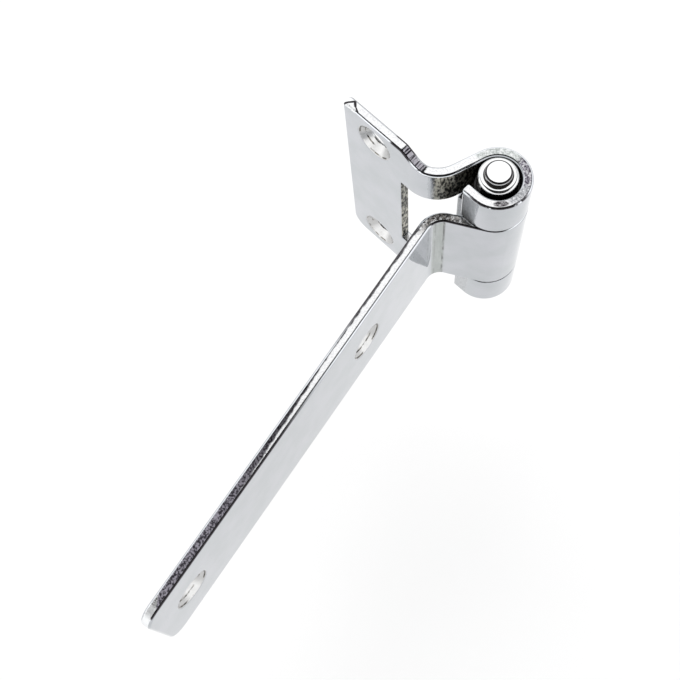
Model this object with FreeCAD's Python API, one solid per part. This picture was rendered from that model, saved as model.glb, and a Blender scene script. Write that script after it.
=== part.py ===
"""A strap hinge of polished sheet steel: a jamb leaf, a strap leaf and the pin they turn on.

Millimetres, +Z along the pin. The origin is midway between the jamb leaf's two screws, on its
mounting face. The jamb leaf lies along XZ, and its screw heads face -Y.
"""
import FreeCAD, Part
import math
import os

# Sheet that both leaves are folded from, and how far its edges are broken
sheet = 3.0
outline_break = 0.5
window_break = 0.3

# Pin, turned in one piece: its ends are necked down and finish in a nose
bore_radius = 6.0
grip_clearance = 0.01
running_clearance = 0.06
neck_radius = 5.25
neck_depth = 4.0
neck_proud = 1.4
neck_break = 0.6
nose_radius = 3.6
nose_height = 1.7
nose_break = 0.45

# Fold that both leaves share, from the flat to the curl round the pin
leaf_offset = 11.7
lead_angle = 72.0
curl_sweep = 251.0
lip_length = 4.3

# Strap leaf; reaches are measured from the pin's axis
strap_reach = 139.0
strap_width = 35.0
strap_corner = 5.0
strap_bend_radius = 6.0
strap_side_clearance = 0.2
near_screw_reach = 46.3
far_screw_inset = 13.2

# Jamb leaf, whose plate stands taller than its knuckles by a sloping shoulder at each arm
jamb_reach = 42.4
jamb_upper_corner = 1.2
jamb_lower_corner = 5.0
jamb_bend_radius = 9.0
knuckle_length = 13.3
window_flat = 3.3
shoulder_drop = 4.0
shoulder_run = 6.5
shoulder_round = 2.0
shoulder_foot_round = 3.0
jamb_screw_inset = 11.1
jamb_screw_edge = 8.0

# Countersunk screw holes
hole_radius = 3.3
countersink_radius = 5.9

# Angle from the jamb leaf round to the strap leaf as the hinge lies at rest
leaf_angle = 101.0

pin_radius = bore_radius - grip_clearance
strap_bore_radius = pin_radius + running_clearance
window_height = strap_width + 2 * strap_side_clearance
barrel_length = window_height + 2 * knuckle_length
jamb_height = barrel_length + 2 * shoulder_drop
jamb_screw_level = jamb_height / 2 - jamb_screw_edge
jamb_screw_reach = jamb_reach - jamb_screw_inset
pin_axis = FreeCAD.Vector(jamb_screw_reach, leaf_offset - sheet / 2, 0)
origin = FreeCAD.Vector(0, 0, 0)
along_y = FreeCAD.Vector(0, 1, 0)
along_z = FreeCAD.Vector(0, 0, 1)
near = 0.001


def polar(centre, radius, degrees):
    angle = math.radians(degrees)
    return centre + FreeCAD.Vector(radius * math.cos(angle), radius * math.sin(angle), 0)


def arc(centre, radius, start, end):
    return Part.Arc(
        polar(centre, radius, start),
        polar(centre, radius, (start + end) / 2),
        polar(centre, radius, end),
    ).toShape()


def bend_reach(bend_radius, curl_radius):
    """How far from the pin's axis, along the flat, the sheet starts to bend."""
    touch = polar(origin, curl_radius, 90 + lead_angle)
    lead = (touch.y + leaf_offset) / math.sin(math.radians(lead_angle))
    corner_x = touch.x - lead * math.cos(math.radians(lead_angle))
    return bend_radius * math.tan(math.radians(lead_angle / 2)) - corner_x


jamb_curl_radius = bore_radius + sheet / 2
strap_curl_radius = strap_bore_radius + sheet / 2
window_reach = bend_reach(jamb_bend_radius, jamb_curl_radius) + window_flat


def side_edges(reach, bend_radius, curl_radius, to_left):
    """One face of a folded sheet as seen along the pin, with the pin axis at the origin.

    The flat comes from -X, turns up through the lead angle, touches the curl's circle, goes
    clockwise round it and ends in a straight lip. to_left is the distance to the left of the
    sheet's middle, walking from the flat's end to the lip's tip.
    """
    curl_start = 90 + lead_angle
    curl_end = curl_start - curl_sweep
    bend_centre = FreeCAD.Vector(-bend_reach(bend_radius, curl_radius), bend_radius - leaf_offset, 0)
    bend = arc(bend_centre, bend_radius - to_left, -90, lead_angle - 90)
    curl = arc(origin, curl_radius + to_left, curl_start, curl_end)
    end = FreeCAD.Vector(-reach, to_left - leaf_offset, 0)
    tip = polar(curl.Vertexes[-1].Point, lip_length, curl_end - 90)
    flat = Part.makeLine(end, bend.Vertexes[0].Point)
    rise = Part.makeLine(bend.Vertexes[-1].Point, curl.Vertexes[0].Point)
    lip = Part.makeLine(curl.Vertexes[-1].Point, tip)
    return [flat, bend, rise, curl, lip]


def folded_sheet(reach, bend_radius, curl_radius, height):
    """The sheet folded to its profile, standing evenly about the pin's middle."""
    left = side_edges(reach, bend_radius, curl_radius, sheet / 2)
    right = side_edges(reach, bend_radius, curl_radius, -sheet / 2)
    far_end = Part.makeLine(right[0].Vertexes[0].Point, left[0].Vertexes[0].Point)
    lip_tip = Part.makeLine(left[-1].Vertexes[-1].Point, right[-1].Vertexes[-1].Point)
    profile = Part.Wire(Part.__sortEdges__(left + right + [far_end, lip_tip]))
    body = Part.Face(profile).extrude(along_z * height)
    body.translate(along_z * (-height / 2))
    return body


def is_line(edge):
    return edge.Curve.TypeId == "Part::GeomLine"


def parallel(edge, direction):
    return is_line(edge) and edge.tangentAt(edge.FirstParameter).cross(direction).Length < near


def across_sheet(edge):
    """True for an edge that runs through the sheet's thickness."""
    return parallel(edge, along_y) or (is_line(edge) and abs(edge.Length - sheet) < near)


def corner_edges(body, x, *levels):
    """Edges along Y at x and at any of the levels."""
    found = []
    for edge in body.Edges:
        middle = edge.CenterOfMass
        on_level = any(abs(middle.z - level) < near for level in levels)
        if parallel(edge, along_y) and abs(middle.x - x) < near and on_level:
            found.append(edge)
    return found


def lip_tip_point(curl_radius):
    curl_end = 90 + lead_angle - curl_sweep
    return polar(polar(origin, curl_radius, curl_end), lip_length, curl_end - 90)


def outline_edges(body, sheet_ends):
    """The sheet's edges all round its outline, less those that run through its thickness.

    Of the upright edges only those at the sheet's two ends count: the others part a flat from
    a bend.
    """
    found = []
    for edge in body.Edges:
        middle = edge.CenterOfMass
        if parallel(edge, along_z):
            middle.z = 0
            if any(middle.distanceToPoint(end) < sheet / 2 + near for end in sheet_ends):
                found.append(edge)
        elif not across_sheet(edge):
            found.append(edge)
    return found


def window_edges(body):
    """The edges round the window and the inner ends of the jamb leaf's two knuckles."""
    found = []
    for edge in body.Edges:
        middle = edge.CenterOfMass
        level = abs(abs(middle.z) - window_height / 2) < near
        upright = parallel(edge, along_z) and abs(middle.x + window_reach) < near
        if upright or (level and not across_sheet(edge)):
            found.append(edge)
    return found


def screw_hole(mouth, inward):
    """A countersunk hole through the sheet, cut from its mouth inwards."""
    depth = countersink_radius - hole_radius
    shank = Part.makeCylinder(hole_radius, sheet, mouth, inward)
    cone = Part.makeCone(countersink_radius, hole_radius, depth, mouth, inward)
    return shank.fuse(cone)


def shoulder_cut(side):
    """What is cut from the blank above the arms (side 1) or below them (side -1)."""
    plate_edge = side * jamb_height / 2
    knuckle_end = side * barrel_length / 2
    outside = 2 * plate_edge
    corners = [
        (-window_reach, plate_edge),
        (shoulder_run - window_reach, knuckle_end),
        (window_reach, knuckle_end),
        (window_reach, outside),
        (-window_reach, outside),
        (-window_reach, plate_edge),
    ]
    outline = Part.makePolygon([FreeCAD.Vector(x, -jamb_height / 2, z) for x, z in corners])
    return Part.Face(outline).extrude(along_y * jamb_height)


def jamb_leaf():
    body = folded_sheet(jamb_reach, jamb_bend_radius, jamb_curl_radius, jamb_height)
    for side in (1, -1):
        body = body.cut(shoulder_cut(side))
    top = jamb_height / 2
    knuckle_end = barrel_length / 2
    body = body.makeFillet(jamb_upper_corner, corner_edges(body, -jamb_reach, top))
    body = body.makeFillet(jamb_lower_corner, corner_edges(body, -jamb_reach, -top))
    body = body.makeFillet(shoulder_round, corner_edges(body, -window_reach, top, -top))
    foot = shoulder_run - window_reach
    body = body.makeFillet(shoulder_foot_round, corner_edges(body, foot, knuckle_end, -knuckle_end))
    sheet_ends = [FreeCAD.Vector(-jamb_reach, -leaf_offset, 0), lip_tip_point(jamb_curl_radius)]
    body = body.makeChamfer(outline_break, outline_edges(body, sheet_ends))
    window = Part.makeBox(2 * window_reach, jamb_height, window_height)
    window.translate(FreeCAD.Vector(-window_reach, -jamb_height / 2, -window_height / 2))
    body = body.cut(window)
    body = body.makeChamfer(window_break, window_edges(body))
    for z in (-jamb_screw_level, jamb_screw_level):
        mouth = FreeCAD.Vector(-jamb_screw_reach, -leaf_offset - sheet / 2, z)
        body = body.cut(screw_hole(mouth, along_y))
    body.translate(pin_axis)
    return body


def strap_leaf():
    body = folded_sheet(strap_reach, strap_bend_radius, strap_curl_radius, strap_width)
    top = strap_width / 2
    body = body.makeFillet(strap_corner, corner_edges(body, -strap_reach, top, -top))
    sheet_ends = [FreeCAD.Vector(-strap_reach, -leaf_offset, 0), lip_tip_point(strap_curl_radius)]
    body = body.makeChamfer(outline_break, outline_edges(body, sheet_ends))
    for reach in (near_screw_reach, strap_reach - far_screw_inset):
        mouth = FreeCAD.Vector(-reach, sheet / 2 - leaf_offset, 0)
        body = body.cut(screw_hole(mouth, -along_y))
    body = body.mirror(origin, along_y)
    body.rotate(origin, along_z, leaf_angle)
    body.translate(pin_axis)
    return body


def hinge_pin():
    neck_end = barrel_length / 2 + neck_proud
    pin = Part.makeCylinder(
        pin_radius, barrel_length - 2 * neck_depth, along_z * (neck_depth - barrel_length / 2), along_z)
    neck = Part.makeCylinder(neck_radius, 2 * neck_end, along_z * -neck_end, along_z)
    neck = neck.makeChamfer(neck_break, [edge for edge in neck.Edges if not is_line(edge)])
    nose_end = neck_end + nose_height
    nose = Part.makeCylinder(nose_radius, 2 * nose_end, along_z * -nose_end, along_z)
    nose = nose.makeChamfer(nose_break, [edge for edge in nose.Edges if not is_line(edge)])
    body = pin.fuse([neck, nose]).removeSplitter()
    body.translate(pin_axis)
    return body


os.makedirs("parts", exist_ok=True)
for name, make in (("jamb_leaf", jamb_leaf), ("strap_leaf", strap_leaf), ("hinge_pin", hinge_pin)):
    shape = make()
    print(name, shape.ShapeType, len(shape.Solids), shape.isValid(), round(shape.Volume, 1))
    shape.exportStep("parts/" + name + ".step")
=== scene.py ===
"""The looks of the strap hinge: polished sheet with sheared, part-worn edges, on a pale floor.

Metres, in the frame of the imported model. The camera stands where the photo's camera stood.
"""
import bpy
import math
from mathutils import Matrix, Vector


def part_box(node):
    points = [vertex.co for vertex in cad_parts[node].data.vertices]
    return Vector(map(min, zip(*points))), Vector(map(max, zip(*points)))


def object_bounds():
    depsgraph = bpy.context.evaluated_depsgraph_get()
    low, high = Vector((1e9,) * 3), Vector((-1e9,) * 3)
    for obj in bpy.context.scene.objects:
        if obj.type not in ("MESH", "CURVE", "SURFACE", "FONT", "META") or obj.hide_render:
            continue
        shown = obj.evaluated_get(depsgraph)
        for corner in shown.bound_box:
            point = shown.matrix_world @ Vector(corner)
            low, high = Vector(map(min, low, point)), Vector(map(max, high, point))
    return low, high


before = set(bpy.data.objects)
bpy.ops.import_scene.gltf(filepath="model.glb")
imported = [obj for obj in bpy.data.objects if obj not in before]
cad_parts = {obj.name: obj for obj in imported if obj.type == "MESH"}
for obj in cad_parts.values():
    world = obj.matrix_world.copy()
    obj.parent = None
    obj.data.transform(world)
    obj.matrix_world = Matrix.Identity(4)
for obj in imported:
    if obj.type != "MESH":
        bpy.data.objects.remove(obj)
cad_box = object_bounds()

# Camera, worked out from the photo's edges: what it looks at, and from where
view_target = Vector((0.02447, -0.04196, 0.0))
view_distance = 0.30098
view_heading = math.radians(55.371)
view_down = math.radians(70.607)
view_roll = math.radians(-10.628)
view_lens = 58.701
sensor_width = 36.0

# Edges: how the corners of the model's chamfers are rounded, once its flats are welded and joined
edge_round = 0.00022
edge_steps = 4
edge_angle = 30.0
weld_distance = 0.000002
flat_angle = 0.5

# The pin, whose necks stand out of the knuckles and end in a nose
pin_low, pin_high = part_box("hinge_pin")
pin_axis = ((pin_low.x + pin_high.x) / 2, (pin_low.y + pin_high.y) / 2, 0.0)
nose_height = 0.0017
neck_proud = 0.0014
nose_foot = pin_high.z - nose_height
knuckle_top = nose_foot - neck_proud
nose_radius = 0.0036

# The folded sheets, as the model has them, measured from the pin's axis
half_sheet = 0.0015
leaf_offset = 0.0117
bore_radius = 0.006
window_reach = 0.0265
shoulder_drop = 0.004
shoulder_run = 0.0065
slope_length = math.hypot(shoulder_drop, shoulder_run)
slope_facing = (shoulder_drop / slope_length, shoulder_run / slope_length)
leaf_angle = 101.0
strap_angle = math.radians(180.0 + leaf_angle)
strap_way = (math.cos(strap_angle), math.sin(strap_angle), 0.0)
strap_side = (math.sin(strap_angle), -math.cos(strap_angle), 0.0)

# Straight lips that end the curls: the degrees in which each one runs and its outer face looks
jamb_lip_way, jamb_lip_out = 180, -89
strap_lip_way, strap_lip_out = 280, 190

# Countersinks: how far the two of a leaf lie from a middle, and that middle
cone_radius = 0.0059
jamb_screw_level = 0.027
strap_screw_middle = 0.08605
strap_screw_reach = 0.03975

# Tones of the finishes and of the painted shade, highlights and dark reflections: what each reflects
# where it is darkest, and where it is lightest
face_tones = (0.505, 0.527, 0.547), (0.56, 0.572, 0.603)
cut_tones = (0.47, 0.47, 0.48), (0.58, 0.585, 0.59)
bore_shade_tones = (0.02, 0.018, 0.018), (0.12, 0.115, 0.11)
drawn_tones = (0.012, 0.011, 0.007), (0.6, 0.58, 0.5)
scored_tones = (0.04, 0.036, 0.05), (0.7, 0.68, 0.74)
shoulder_reflection_tones = (0.015, 0.013, 0.015), (0.06, 0.055, 0.06)
rim_reflection_tones = (0.015, 0.013, 0.015), (0.07, 0.065, 0.07)
mark_tones = (0.012, 0.01, 0.012), (0.04, 0.036, 0.04)
highlight_tones = (0.86, 0.87, 0.88), (0.92, 0.93, 0.94)
lip_tones = (0.46, 0.475, 0.49), (0.56, 0.575, 0.59)
lip_end_tones = (0.35, 0.365, 0.375), (0.44, 0.455, 0.465)
pale_rub_tones = (0.27, 0.285, 0.28), (0.44, 0.46, 0.455)
grey_rub_tones = (0.16, 0.165, 0.175), (0.34, 0.345, 0.36)
dark_rub_tones = (0.03, 0.025, 0.036), (0.23, 0.22, 0.25)
black_rub_tones = (0.012, 0.011, 0.013), (0.15, 0.14, 0.15)
bend_tones = (0.02, 0.018, 0.018), (0.3, 0.28, 0.26)
near_wedge_tones = (0.015, 0.013, 0.016), (0.14, 0.135, 0.15)
far_wedge_tones = (0.07, 0.065, 0.08), (0.5, 0.48, 0.54)
band_tones = (0.4, 0.425, 0.415), (0.47, 0.495, 0.485)
line_tones = (0.05, 0.05, 0.05), (0.2, 0.2, 0.2)
cone_tones = (0.5, 0.5, 0.5), (0.6, 0.6, 0.595)
ring_tones = (0.05, 0.048, 0.045), (0.2, 0.19, 0.17)
pin_tones = (0.55, 0.56, 0.565), (0.6, 0.605, 0.605)
pin_hidden_shade_tones = (0.02, 0.02, 0.02), (0.04, 0.04, 0.042)
nose_foot_reflection_tones = (0.01, 0.01, 0.01), (0.06, 0.05, 0.05)

# Polish: how far its clouds and specks are drawn apart, and the roughness at either end of them
cloud_edge = (0.3, 0.7)
speck_edge = (0.35, 0.65)
face_roughness = (0.05, 0.09)
cut_roughness = (0.05, 0.16)

# Facings, as cosines. Two values are where a finish is nothing and where it is full. Four are where
# it starts, is full, begins to fade and is gone. The places after these are given in the same way.
end_facing = (0.95, 0.995)
wall_facing = (0.5, 0.2)
leaning = (0.1, 0.3)
rim_facing = (0.5, 0.65, 0.96, 0.985)
shoulder_rim_facing = (0.1, 0.3, 0.8, 0.9)
drawn_facing = (0.53, 0.66)
slope_match = (0.975, 0.995)
lip_facing = (0.9, 0.97)
lip_end_facing = (0.5, 0.75)
corner_facing = (0.2, 0.4)
press_facing = (0.2, 0.5)
tip_facing = (0.5, 0.3)
cone_facing = (0.45, 0.6, 0.8, 0.9)

# Finishes of the countersinks: the cone from its edge inwards, and the tool's rings on it
cone_edge = (cone_radius, cone_radius - 0.0002)
ring_spacing = 0.0010472
ring_edge = (0.4, 0.9)

# Finishes, painted shade and painted dark reflections of the curls, by their distance from the pin's
# axis
bore_wall_reach = (bore_radius + 0.0006, bore_radius + 0.0002)
rub_reach = (0.0098, 0.0093)
rub_blend = 0.05
patch_way = -42
patch_radius = 0.0074
patch_width = 0.0008
patch_spread = 0.0019
patch_edge = (1.25, 0.75)
curl_rim_reach = (0.0083, 0.0086)
curl_rim_way = -45
curl_rim_turn = (0.45, 0.7)
past_curl = (-0.0014, -0.0006)
lip_outside = (0.0084, 0.0088)
lip_end_reach = (0.0112, 0.0108)
strap_lip_span = (0.0036, 0.0039, 0.0048, 0.0052)
strap_lip_outside = (0.0098, 0.0094)
strap_lip_reach = (0.0115, 0.011)

# Finishes, painted shade and painted dark reflections of the pin, by their level and by their
# distance from its axis
pin_roughness = (0.07, 0.12)
hidden_level = (knuckle_top + 0.0002, knuckle_top - 0.0003)
nose_foot_reflection_level = (nose_foot + 0.0006, nose_foot + 0.0003)
nose_foot_reflection_reach = (nose_radius + 0.0004, nose_radius + 0.0002)
nose_rim_level = (nose_foot + 0.0009, nose_foot + 0.0011)
nose_rim_reach = (nose_radius + 0.0003, nose_radius + 0.0001)

# Finishes of the jamb leaf: its drawn side, its shoulders, and the painted dark reflections on its
# shoulder chamfers and on the rim at its back
drawn_start = (0.003, 0.0045)
drawn_reach = (window_reach + 0.0006, window_reach - 0.0006)
shoulder_span = (0.0055, 0.0065, 0.012, 0.0135)
shoulder_level = (0.0295, 0.0305)
back_rim_reach = (0.0095, 0.0105)
back_rim_strength = 0.35

# The plate's upper outer corner: where its white highlight is painted, and the points and widths of
# its black mark
corner_level = (0.0325, 0.033)
corner_end = (-0.0065, -0.0069)
corner_depth = (-0.0006, -0.0012)
mark_tip = (-0.0106, -0.0029, 0.0)
mark_back = (-0.0087, -0.0007, 0.0)
mark_middle = (-0.0077, -0.0016, 0.0)
mark_front = (-0.0060, -0.00245, 0.0)
mark_fine = 0.0003
mark_medium = 0.0004
mark_broad = 0.0005

# Finishes, painted highlights and painted dark reflections of the strap, by how far down the strap
# they lie from the pin's axis
bend_wear_and_reflection_start = (0.0085, 0.011)
bend_wear_and_reflection_end = (0.021, 0.013)
bend_rim_span = (0.0045, 0.0065, 0.0144, 0.0152)
bend_rim_way = -35
press_span = (0.0119, 0.0122, 0.0143, 0.0147)
near_line = 0.01215
near_line_width = 0.0002
far_line = 0.0138
far_line_width = 0.0004
back_rim_span = (0.015, 0.018, 0.045, 0.06)
front_rim_span = (0.055, 0.085, 0.1365, 0.137)
tip_start = (0.1335, 0.1345)

# The painted dark reflection on the strap's edge: how deep it is from the back, and where it grows or
# tapers
wedge_start = (0.014, 0.018)
wedge_least = 0.00092
wedge_growth_start = 0.042
wedge_growth = 0.043
wedge_raggedness = 0.001
wedge_edge = (-0.0002, 0.0003)
wedge_paler = (0.075, 0.11)
taper_start = 0.1295
taper_slope = 0.5
taper_edge = (-0.0001, 0.0001)

# Studio: a light is a radiance, of which 1 is white, and an edge is a cosine
floor_gap = 0.09
floor_radius = 0.75
floor_sides = 96
floor_white = 0.97
ceiling_light = 0.9
ceiling_edge = (-0.05, 0.05)
wall_light = 1.1
horizon_light = 1.9
horizon_edge = (-0.1, 0.1)
wall_edge = (0.46, 0.4)
wall_fall = 0.09
panel_light = 1.9
panel_edge = (0.14, 0.22)
panel_side = (0.65, 0.45)
panel_rise = (0.2, 0.75)
dark_light = 0.03
side_fill = 0.5
side_edge = (0.5, 0.66)
lamp_way = (-0.33, 0.33, 0.88)
lamp_distance = 1.2
lamp_size = 0.8
lamp_light = 1.95
far_way = (-math.sin(view_heading), math.cos(view_heading), 0.0)
side_way = (math.cos(view_heading), math.sin(view_heading), 0.0)
upward = (0.0, 0.0, 1.0)


class Nodes:
    """The node tree of a material or of the world, and short ways to add to it."""

    def __init__(self, owner):
        owner.use_nodes = True
        self.tree = owner.node_tree
        self.tree.nodes.clear()

    def feed(self, socket, value):
        """Links the socket to another node's socket, or sets it to the value."""
        if isinstance(value, bpy.types.NodeSocket):
            self.tree.links.new(value, socket)
        else:
            socket.default_value = value

    def add(self, kind, **values):
        """A node of the kind. Each value is a setting of it, or goes to its socket of that name."""
        node = self.tree.nodes.new("ShaderNode" + kind)
        for name, value in values.items():
            if hasattr(node, name):
                setattr(node, name, value)
            else:
                self.feed(node.inputs[name.replace("_", " ")], value)
        return node

    def calculate(self, operation, first, second=0.0):
        node = self.add("Math", operation=operation)
        self.feed(node.inputs[0], first)
        self.feed(node.inputs[1], second)
        return node.outputs[0]

    def minus(self, first, second):
        return self.calculate("SUBTRACT", first, second)

    def plus(self, first, second):
        return self.calculate("ADD", first, second)

    def times(self, *values):
        result = values[0]
        for value in values[1:]:
            result = self.calculate("MULTIPLY", result, value)
        return result

    def most(self, *values):
        result = values[0]
        for value in values[1:]:
            result = self.calculate("MAXIMUM", result, value)
        return result

    def unsigned(self, value):
        return self.calculate("ABSOLUTE", value)

    def reach(self, across, along):
        """The distance that two distances at right angles make."""
        squares = self.plus(self.times(across, across), self.times(along, along))
        return self.calculate("SQRT", squares)

    def along(self, vector, direction):
        """How far the vector goes in the direction."""
        node = self.add("VectorMath", operation="DOT_PRODUCT")
        self.feed(node.inputs[0], vector)
        self.feed(node.inputs[1], direction)
        return node.outputs["Value"]

    def offset(self, vector, point):
        node = self.add("VectorMath", operation="SUBTRACT")
        self.feed(node.inputs[0], vector)
        self.feed(node.inputs[1], point)
        return node.outputs["Vector"]

    def ramp(self, source, low, high, to_low=0.0, to_high=1.0):
        """source taken smoothly from low..high to to_low..to_high; low may be the larger."""
        node = self.add("MapRange", interpolation_type="SMOOTHSTEP", Value=source,
                        From_Min=low, From_Max=high, To_Min=to_low, To_Max=to_high)
        return node.outputs["Result"]

    def span(self, source, start, full, fading, end):
        """0 up to start, 1 from full to fading, and 0 again from end."""
        return self.times(self.ramp(source, start, full), self.ramp(source, end, fading))

    def noise(self, place, scale, detail=2.0, stretch=(1.0, 1.0, 1.0)):
        """Noise with about scale swells a metre, longer where a part of stretch is below 1."""
        scaled = self.add("Mapping", Vector=place, Scale=stretch)
        node = self.add("TexNoise", Vector=scaled.outputs["Vector"], Scale=scale, Detail=detail)
        return node.outputs["Fac"]

    def mix(self, kind, factor, first, second):
        """first where the factor is 0 and second where it is 1; kind is Float or Color."""
        node = self.add("Mix", data_type={"Float": "FLOAT", "Color": "RGBA"}[kind])
        sockets = {socket.identifier: socket for socket in node.inputs}
        self.feed(sockets["Factor_Float"], factor)
        for name, value in (("A_", first), ("B_", second)):
            self.feed(sockets[name + kind], (*value, 1.0) if isinstance(value, tuple) else value)
        return [socket for socket in node.outputs if socket.identifier == "Result_" + kind][0]

    def bump(self, height, distance, strength, under=None):
        """The normals of a relief, on top of those of another one where it is given."""
        node = self.add("Bump", Strength=strength, Distance=distance, Height=height)
        if under is not None:
            self.feed(node.inputs["Normal"], under)
        return node.outputs["Normal"]


class Steel(Nodes):
    """A steel surface in the making: where a point lies, the way it faces, and its finish so far."""

    def __init__(self, name):
        self.material = bpy.data.materials.new(name)
        super().__init__(self.material)
        source = self.add("TexCoord")
        self.place = source.outputs["Object"]
        self.facing = source.outputs["Normal"]
        self.level = self.unsigned(self.along(self.place, upward))
        self.from_pin = self.offset(self.place, pin_axis)
        self.distance = self.reach(self.towards(self.from_pin, 0), self.towards(self.from_pin, 90))
        self.upright = self.unsigned(self.along(self.facing, upward))
        self.end_face = self.ramp(self.upright, *end_facing)
        self.wall = self.ramp(self.upright, *wall_facing)
        self.cloud = self.noise(self.place, scale=140.0, detail=6.0)
        self.speck = self.noise(self.place, scale=1900.0, detail=3.0)
        self.laid = 0.0

    def towards(self, vector, degrees):
        """How far the vector goes in a direction square to the pin."""
        angle = math.radians(degrees)
        return self.along(vector, (math.cos(angle), math.sin(angle), 0.0))

    def turn(self, degrees):
        """The cosine of the angle round the pin between the direction and the point."""
        return self.calculate("DIVIDE", self.towards(self.from_pin, degrees), self.distance)

    def mottle(self, low, high):
        """The fine specks: 0 where they are under low and 1 where they are over high."""
        return self.ramp(self.speck, low, high)

    def patches(self, scale, low, high, least=0.0, most=1.0, detail=3.0, stretch=(1.0, 1.0, 1.0)):
        """Uneven patches: least where their noise is under low, and most where it is over high."""
        return self.ramp(self.noise(self.place, scale, detail, stretch), low, high, least, most)

    def lay(self, mask, pattern, tones, roughness):
        """Covers the mask: with the first tone where the pattern is 0, the second where it is 1."""
        self.colour = self.mix("Color", mask, self.colour, self.mix("Color", pattern, *tones))
        self.roughness = self.mix("Float", mask, self.roughness, roughness)
        self.laid = self.most(self.laid, mask)

    def complete(self, normal):
        shader = self.add("BsdfPrincipled", Metallic=1.0, Base_Color=self.colour,
                          Roughness=self.roughness, Normal=normal)
        self.add("OutputMaterial", Surface=shader.outputs[0])
        return self.material


def polish(steel):
    """Near mirror on the sheet's faces; finely specked and rougher on its sheared edges."""
    clouded = steel.ramp(steel.cloud, *cloud_edge)
    face = steel.mix("Color", clouded, *face_tones)
    cut = steel.mix("Color", steel.mottle(low=0.36, high=0.6), *cut_tones)
    steel.colour = steel.mix("Color", steel.end_face, face, cut)
    smooth = steel.ramp(steel.cloud, *cloud_edge, *face_roughness)
    rougher = steel.ramp(steel.speck, *speck_edge, *cut_roughness)
    steel.roughness = steel.plus(smooth, steel.times(steel.end_face, rougher))


def relief(steel):
    """The faces' faint waves, under the grain of the edges and of every laid finish, painted shade,
    highlights and reflections among them.
    """
    swell = steel.noise(steel.place, scale=180.0, detail=1.0)
    wave = steel.bump(swell, distance=0.00002, strength=0.5)
    grain = steel.noise(steel.place, scale=2600.0, detail=4.0, stretch=(1.0, 1.0, 0.25))
    grained = steel.times(grain, steel.most(steel.end_face, steel.laid))
    return steel.bump(grained, distance=0.00005, strength=0.6, under=wave)


def bore_shade(steel):
    """The inside of a leaf's curl, painted black as shade in the recess, and rougher."""
    inside = steel.ramp(steel.distance, *bore_wall_reach)
    mask = steel.times(steel.wall, inside)
    steel.lay(mask, steel.mottle(low=0.42, high=0.62), bore_shade_tones, roughness=0.4)


def painted_rim_reflection(steel, *masks):
    """A chamfer's upper part, painted black as a dark reflection."""
    turned = steel.span(steel.upright, *rim_facing)
    steel.lay(steel.times(turned, *masks), steel.speck, rim_reflection_tones, roughness=0.3)


def cone_rings(steel, aside, along, square):
    """A satin cone with the countersinking tool's thin arcs.

    aside and along are the distances from the screw's axis, and square tells how squarely the
    surface faces out of the sheet.
    """
    radius = steel.reach(aside, along)
    slanted = steel.span(square, *cone_facing)
    cone = steel.times(steel.ramp(radius, *cone_edge), slanted)
    steel.lay(cone, steel.speck, cone_tones, roughness=0.28)
    swirl = steel.calculate("SINE", steel.times(radius, 2 * math.pi / ring_spacing))
    broken = steel.patches(scale=330.0, low=0.46, high=0.58, detail=2.0)
    arcs = steel.times(steel.ramp(swirl, *ring_edge), broken)
    steel.lay(steel.times(cone, arcs), steel.mottle(low=0.4, high=0.6), ring_tones, roughness=0.2)


def drawn_bend(steel):
    """The jamb leaf's bend and rise on their inner side: dull, with upright draw marks.

    The wall at the plate's end of the window faces the same way and is as dull.
    """
    inward = steel.ramp(steel.towards(steel.facing, 0), *drawn_facing)
    before_pin = steel.ramp(steel.towards(steel.from_pin, 180), *drawn_start)
    bent = steel.times(before_pin, steel.ramp(steel.distance, *drawn_reach))
    marks = steel.patches(scale=1500.0, low=0.4, high=0.62, detail=4.0, stretch=(1.0, 1.0, 0.45))
    steel.lay(steel.times(steel.wall, inward, bent), marks, drawn_tones, roughness=0.35)


def shoulder_slope(steel):
    """The sheared slopes from the plate down to the knuckles, scored through the thickness."""
    across, up = slope_facing
    steepness = steel.plus(steel.times(steel.towards(steel.facing, 0), across),
                           steel.times(steel.upright, up))
    scored = steel.patches(scale=2300.0, low=0.42, high=0.54, detail=2.0, stretch=(1.0, 0.08, 1.0))
    steel.lay(steel.ramp(steepness, *slope_match), scored, scored_tones, roughness=0.6)


def shoulder_rim_reflection(steel):
    """The chamfers beside the slopes, painted black as a dark reflection."""
    beside = steel.span(steel.towards(steel.place, 0), *shoulder_span)
    turned = steel.span(steel.unsigned(steel.towards(steel.facing, 90)), *shoulder_rim_facing)
    outermost = steel.ramp(steel.level, *shoulder_level)
    steel.lay(steel.times(beside, turned, outermost), steel.speck, shoulder_reflection_tones, roughness=0.3)


def curl_sector(steel, tones, degrees, half_angle, strength=1.0):
    """A rubbed stretch of the curl's end, from its bore to its outside and about the degrees."""
    edge = math.cos(math.radians(half_angle))
    sector = steel.times(steel.ramp(steel.turn(degrees), edge - rub_blend, edge + rub_blend),
                         steel.ramp(steel.distance, *rub_reach))
    broken = steel.patches(scale=1300.0, low=0.36, high=0.52, least=0.3)
    mask = steel.times(steel.end_face, sector, broken, strength)
    steel.lay(mask, steel.mottle(low=0.4, high=0.62), tones, roughness=0.25)


def curl_patch(steel):
    """A rubbed patch in the middle of the curl's end."""
    out = steel.minus(steel.towards(steel.from_pin, patch_way), patch_radius)
    aside = steel.towards(steel.from_pin, patch_way + 90)
    away = steel.reach(steel.times(out, 1 / patch_width), steel.times(aside, 1 / patch_spread))
    broken = steel.patches(scale=1500.0, low=0.3, high=0.5, least=0.6)
    mask = steel.times(steel.end_face, steel.ramp(away, *patch_edge), broken)
    steel.lay(mask, steel.mottle(low=0.42, high=0.64), black_rub_tones, roughness=0.3)


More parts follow.
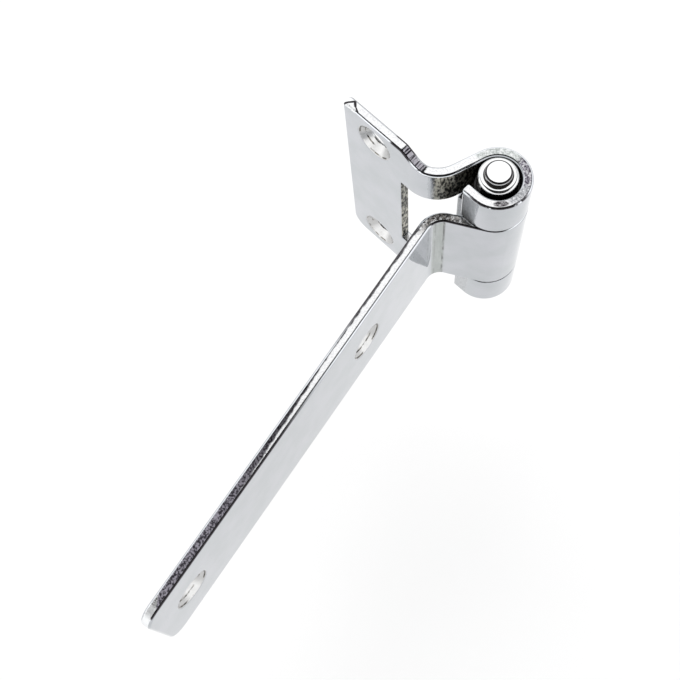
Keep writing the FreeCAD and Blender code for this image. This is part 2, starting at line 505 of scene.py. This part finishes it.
def satin_lip(steel):
    """The outer face of the jamb leaf's straight lips, duller than the rest of the sheet."""
    mask = steel.times(steel.ramp(steel.towards(steel.from_pin, jamb_lip_way), *past_curl),
                       steel.ramp(steel.towards(steel.facing, jamb_lip_out), *lip_facing),
                       steel.ramp(steel.towards(steel.from_pin, jamb_lip_out), *lip_outside),
                       steel.ramp(steel.distance, *lip_end_reach))
    steel.lay(mask, steel.mottle(low=0.35, high=0.65), lip_tones, roughness=0.34)


def curl_rim_reflection(steel):
    """The curl's outer chamfer, with a painted dark reflection along the half that faces away from
    the plate.
    """
    outside = steel.ramp(steel.distance, *curl_rim_reach)
    sector = steel.ramp(steel.turn(curl_rim_way), *curl_rim_turn)
    painted_rim_reflection(steel, outside, sector, steel.patches(scale=700.0, low=0.35, high=0.5, detail=2.0))


def back_rim_reflection(steel):
    """The chamfer at the back of the plate and its arms, greyed by a painted dark reflection."""
    backward = steel.ramp(steel.towards(steel.facing, 90), *leaning)
    painted_rim_reflection(steel, backward, steel.ramp(steel.distance, *back_rim_reach), back_rim_strength)


def stroke(steel, start, end, width):
    """A straight stroke from start to end, as seen along the pin: 1 in its middle and 0 beside it."""
    way = Vector(end) - Vector(start)
    degrees = math.degrees(math.atan2(way.y, way.x))
    from_start = steel.offset(steel.place, start)
    past = steel.towards(from_start, degrees)
    aside = steel.unsigned(steel.towards(from_start, degrees + 90))
    ends = steel.span(past, -width, 0.0, way.length, way.length + width)
    return steel.times(ends, steel.ramp(aside, width, width / 2))


def corner_mark(steel):
    """The plate's upper outer corner: a painted white highlight, with a black mark that runs into the
    front chamfer.
    """
    on_top = steel.times(steel.ramp(steel.along(steel.place, upward), *corner_level),
                         steel.ramp(steel.upright, *corner_facing))
    corner = steel.times(on_top, steel.ramp(steel.towards(steel.place, 0), *corner_end),
                         steel.ramp(steel.towards(steel.place, 90), *corner_depth))
    steel.lay(corner, steel.speck, highlight_tones, roughness=0.6)
    mark = steel.most(stroke(steel, mark_tip, mark_back, mark_medium),
                      stroke(steel, mark_back, mark_middle, mark_broad),
                      stroke(steel, mark_middle, mark_front, mark_fine))
    steel.lay(steel.times(mark, on_top), steel.speck, mark_tones, roughness=0.3)


def jamb_steel():
    steel = Steel("jamb_steel")
    polish(steel)
    bore_shade(steel)
    drawn_bend(steel)
    shoulder_slope(steel)
    shoulder_rim_reflection(steel)
    curl_sector(steel, pale_rub_tones, degrees=128, half_angle=48)
    curl_sector(steel, dark_rub_tones, degrees=54, half_angle=33)
    curl_sector(steel, grey_rub_tones, degrees=0, half_angle=26, strength=0.9)
    curl_patch(steel)
    satin_lip(steel)
    curl_rim_reflection(steel)
    back_rim_reflection(steel)
    corner_mark(steel)
    square = steel.unsigned(steel.towards(steel.facing, 90))
    from_screw = steel.minus(steel.level, jamb_screw_level)
    cone_rings(steel, steel.towards(steel.place, 0), from_screw, square)
    return steel.complete(relief(steel))


def bend_wear_and_reflection(steel, down):
    """The strap's edge round its bend and curl, roughened where the sheet was drawn, and darkened by
    a painted dark reflection.
    """
    broken = steel.patches(scale=1100.0, low=0.38, high=0.54)
    near_bend = steel.times(steel.ramp(down, *bend_wear_and_reflection_end),
                            steel.ramp(down, *bend_wear_and_reflection_start, to_low=0.5))
    mask = steel.times(steel.end_face, near_bend, broken)
    steel.lay(mask, steel.mottle(low=0.4, high=0.62), bend_tones, roughness=0.4)


def edge_reflection_wedge(steel, down):
    """A painted dark reflection on the strap's edge, which is also made rough and mottled.

    It is a thin line at the back near the bend, takes up the whole edge towards the far end, and
    tapers off to the back again at the rounded corner.
    """
    across = steel.minus(steel.along(steel.from_pin, strap_side), leaf_offset)
    from_back = steel.minus(half_sheet, across)
    grown = steel.times(steel.minus(down, wedge_growth_start), wedge_growth)
    swell = steel.minus(steel.noise(steel.place, scale=420.0, detail=3.0), 0.5)
    depth = steel.plus(steel.most(wedge_least, grown), steel.times(swell, wedge_raggedness))
    inside = steel.ramp(steel.minus(depth, from_back), *wedge_edge)
    taper = steel.times(steel.minus(down, taper_start), taper_slope)
    tapered = steel.ramp(steel.minus(from_back, taper), *taper_edge)
    paler = steel.ramp(down, *wedge_paler)
    tones = [steel.mix("Color", paler, near, far)
             for near, far in zip(near_wedge_tones, far_wedge_tones)]
    mask = steel.times(steel.end_face, inside, steel.ramp(down, *wedge_start), tapered)
    steel.lay(mask, steel.mottle(low=0.38, high=0.62), tones, roughness=0.8)


def satin_lip_end(steel):
    """The cut end of the strap's lip, which shows beside the jamb leaf's upper lip and is as dull."""
    mask = steel.times(steel.ramp(steel.towards(steel.facing, strap_lip_way), *lip_end_facing),
                       steel.span(steel.towards(steel.from_pin, strap_lip_way), *strap_lip_span),
                       steel.ramp(steel.towards(steel.from_pin, strap_lip_out), *strap_lip_outside),
                       steel.ramp(steel.distance, *strap_lip_reach))
    steel.lay(mask, steel.mottle(low=0.35, high=0.65), lip_end_tones, roughness=0.34)


def press_band(steel, down):
    """The satin strip that the press left beside the bend."""
    seen = steel.ramp(steel.towards(steel.facing, 0), *press_facing)
    streaks = steel.patches(scale=900.0, low=0.35, high=0.65, stretch=(1.0, 1.0, 0.2))
    mask = steel.times(steel.span(down, *press_span), seen, steel.wall)
    steel.lay(mask, streaks, band_tones, roughness=0.16)


def press_line(steel, down, where, width, strength):
    """A faint upright mark where the press held the sheet at its bend."""
    line = steel.ramp(steel.unsigned(steel.minus(down, where)), width, width / 4)
    seen = steel.ramp(steel.towards(steel.facing, 0), *press_facing)
    broken = steel.patches(scale=900.0, low=0.35, high=0.6, most=strength, detail=2.0,
                           stretch=(1.0, 1.0, 0.3))
    steel.lay(steel.times(line, seen, broken), steel.speck, line_tones, roughness=0.25)


def bend_rim_reflection(steel, down):
    """The chamfer round the outside of the strap's bend and rise, with a painted dark reflection."""
    outward = steel.ramp(steel.towards(steel.facing, bend_rim_way), *leaning)
    painted_rim_reflection(steel, outward, steel.span(down, *bend_rim_span))


def strap_tip_highlight(steel, down):
    """The strap's rounded corners, with a painted white highlight where the edge turns down."""
    side = steel.unsigned(steel.along(steel.facing, strap_side))
    mask = steel.times(steel.ramp(down, *tip_start), steel.ramp(side, *tip_facing))
    steel.lay(mask, steel.speck, highlight_tones, roughness=0.6)


def strap_rim_reflections(steel, down):
    """The strap's long chamfers, painted black as dark reflections at the back near the bend and in
    front near the far end.
    """
    side = steel.along(steel.facing, strap_side)
    at_back = steel.times(steel.ramp(side, *leaning), steel.span(down, *back_rim_span))
    frontward = steel.ramp(steel.minus(0.0, side), *leaning)
    in_front = steel.times(frontward, steel.span(down, *front_rim_span))
    painted_rim_reflection(steel, steel.most(at_back, in_front))


def strap_steel():
    steel = Steel("strap_steel")
    down = steel.along(steel.from_pin, strap_way)
    polish(steel)
    bore_shade(steel)
    bend_wear_and_reflection(steel, down)
    edge_reflection_wedge(steel, down)
    satin_lip_end(steel)
    press_band(steel, down)
    bend_rim_reflection(steel, down)
    strap_tip_highlight(steel, down)
    strap_rim_reflections(steel, down)
    press_line(steel, down, near_line, near_line_width, strength=0.8)
    press_line(steel, down, far_line, far_line_width, strength=0.35)
    from_middle = steel.unsigned(steel.minus(down, strap_screw_middle))
    from_screw = steel.minus(from_middle, strap_screw_reach)
    square = steel.unsigned(steel.along(steel.facing, strap_side))
    cone_rings(steel, from_screw, steel.level, square)
    return steel.complete(relief(steel))


def pin_steel():
    """Turned and polished: clean on its ends, with painted black shade where the curls hide it."""
    steel = Steel("pin_steel")
    clouded = steel.patches(scale=250.0, low=0.3, high=0.7, detail=2.0)
    steel.colour = steel.mix("Color", clouded, *pin_tones)
    steel.roughness = steel.mix("Float", clouded, *pin_roughness)
    hidden = steel.ramp(steel.level, *hidden_level)
    steel.lay(hidden, steel.speck, pin_hidden_shade_tones, roughness=0.4)
    # Painted dark reflections: a black ring at the foot of the nose, and on the nose's top chamfer.
    nose_foot_reflection = steel.times(steel.ramp(steel.distance, *nose_foot_reflection_reach),
                            steel.ramp(steel.level, *nose_foot_reflection_level))
    steel.lay(nose_foot_reflection, steel.speck, nose_foot_reflection_tones, roughness=0.4)
    painted_rim_reflection(steel, steel.ramp(steel.distance, *nose_rim_reach),
             steel.ramp(steel.level, *nose_rim_level))
    turned = steel.noise(steel.place, scale=900.0)
    return steel.complete(steel.bump(turned, distance=0.00002, strength=0.4))


def soften_edges(node):
    """Rounds the corners of the node's chamfers and shades the result smooth."""
    weld = node.modifiers.new("weld", "WELD")
    weld.merge_threshold = weld_distance
    flats = node.modifiers.new("flats", "DECIMATE")
    flats.decimate_type = "DISSOLVE"
    flats.angle_limit = math.radians(flat_angle)
    rounding = node.modifiers.new("rounding", "BEVEL")
    rounding.width = edge_round
    rounding.segments = edge_steps
    rounding.limit_method = "ANGLE"
    rounding.angle_limit = math.radians(edge_angle)
    rounding.use_clamp_overlap = False
    shading = node.modifiers.new("shading", "WEIGHTED_NORMAL")
    shading.weight = 100
    shading.keep_sharp = False


def dress(name, material):
    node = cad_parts[name]
    for slot in node.material_slots:
        slot.material = material
    soften_edges(node)


def build_camera():
    level = Vector(side_way)
    forward = Vector(far_way) * math.cos(view_down) - Vector(upward) * math.sin(view_down)
    right = level * math.cos(view_roll) + level.cross(forward) * math.sin(view_roll)
    up = right.cross(forward)
    data = bpy.data.cameras.new("camera")
    data.lens = view_lens
    data.sensor_width = sensor_width
    data.sensor_fit = "HORIZONTAL"
    camera = bpy.data.objects.new("camera", data)
    turn = Matrix((right, up, -forward)).transposed().to_4x4()
    camera.matrix_world = Matrix.Translation(view_target - forward * view_distance) @ turn
    bpy.context.scene.collection.objects.link(camera)
    bpy.context.scene.camera = camera


def build_floor():
    material = bpy.data.materials.new("floor_white")
    nodes = Nodes(material)
    shader = nodes.add("BsdfDiffuse", Color=(floor_white, floor_white, floor_white, 1.0))
    nodes.add("OutputMaterial", Surface=shader.outputs[0])
    low = cad_box[0].z - floor_gap
    bpy.ops.mesh.primitive_circle_add(vertices=floor_sides, radius=floor_radius, fill_type="NGON",
                                      location=(view_target.x, view_target.y, low))
    floor = bpy.context.object
    floor.name = "floor"
    floor.data.materials.append(material)


def studio_light(nodes, way):
    """What the metal mirrors: white walls and floor, and a white sweep that rises behind the part."""
    height = nodes.along(way, upward)
    aside = nodes.along(way, side_way)
    gap = nodes.ramp(aside, *side_edge, to_low=dark_light, to_high=side_fill)
    walls = nodes.times(
        nodes.ramp(nodes.along(way, (wall_fall, 0.0, 1.0)), *wall_edge),
        nodes.ramp(height, *horizon_edge, to_low=wall_light, to_high=horizon_light))
    sweep = nodes.times(
        nodes.ramp(nodes.along(way, far_way), *panel_edge),
        nodes.ramp(nodes.unsigned(aside), *panel_side),
        nodes.ramp(height, *panel_rise, to_low=wall_light, to_high=panel_light))
    return nodes.most(gap, walls, sweep)


def build_world():
    """A white background, an even sky that lights the part, and the studio that it mirrors."""
    world = bpy.data.worlds.new("studio")
    nodes = Nodes(world)
    way = nodes.add("TexCoord").outputs["Generated"]
    paths = nodes.add("LightPath")
    even = nodes.ramp(nodes.along(way, upward), *ceiling_edge, to_high=ceiling_light)
    light = nodes.mix("Float", paths.outputs["Is Glossy Ray"], even, studio_light(nodes, way))
    studio = nodes.add("Background", Color=(1.0, 1.0, 1.0, 1.0), Strength=light)
    white = nodes.add("Background", Color=(1.0, 1.0, 1.0, 1.0))
    mixed = nodes.add("MixShader")
    nodes.feed(mixed.inputs[0], paths.outputs["Is Camera Ray"])
    nodes.feed(mixed.inputs[1], studio.outputs[0])
    nodes.feed(mixed.inputs[2], white.outputs[0])
    nodes.add("OutputWorld", Surface=mixed.outputs[0])
    bpy.context.scene.world = world


def build_lamp():
    """A square lamp overhead, which lights the floor. The metal mirrors the world instead."""
    data = bpy.data.lights.new("overhead", "AREA")
    data.size = lamp_size
    data.energy = lamp_light * math.pi * lamp_size * lamp_size
    lamp = bpy.data.objects.new("overhead", data)
    lamp.location = view_target + Vector(lamp_way).normalized() * lamp_distance
    lamp.rotation_euler = (view_target - lamp.location).to_track_quat("-Z", "Y").to_euler()
    lamp.visible_camera = False
    lamp.visible_glossy = False
    bpy.context.scene.collection.objects.link(lamp)


dress("jamb_leaf", jamb_steel())
dress("strap_leaf", strap_steel())
dress("hinge_pin", pin_steel())
build_floor()
build_world()
build_lamp()
build_camera()
bpy.context.scene.view_settings.view_transform = "Standard"
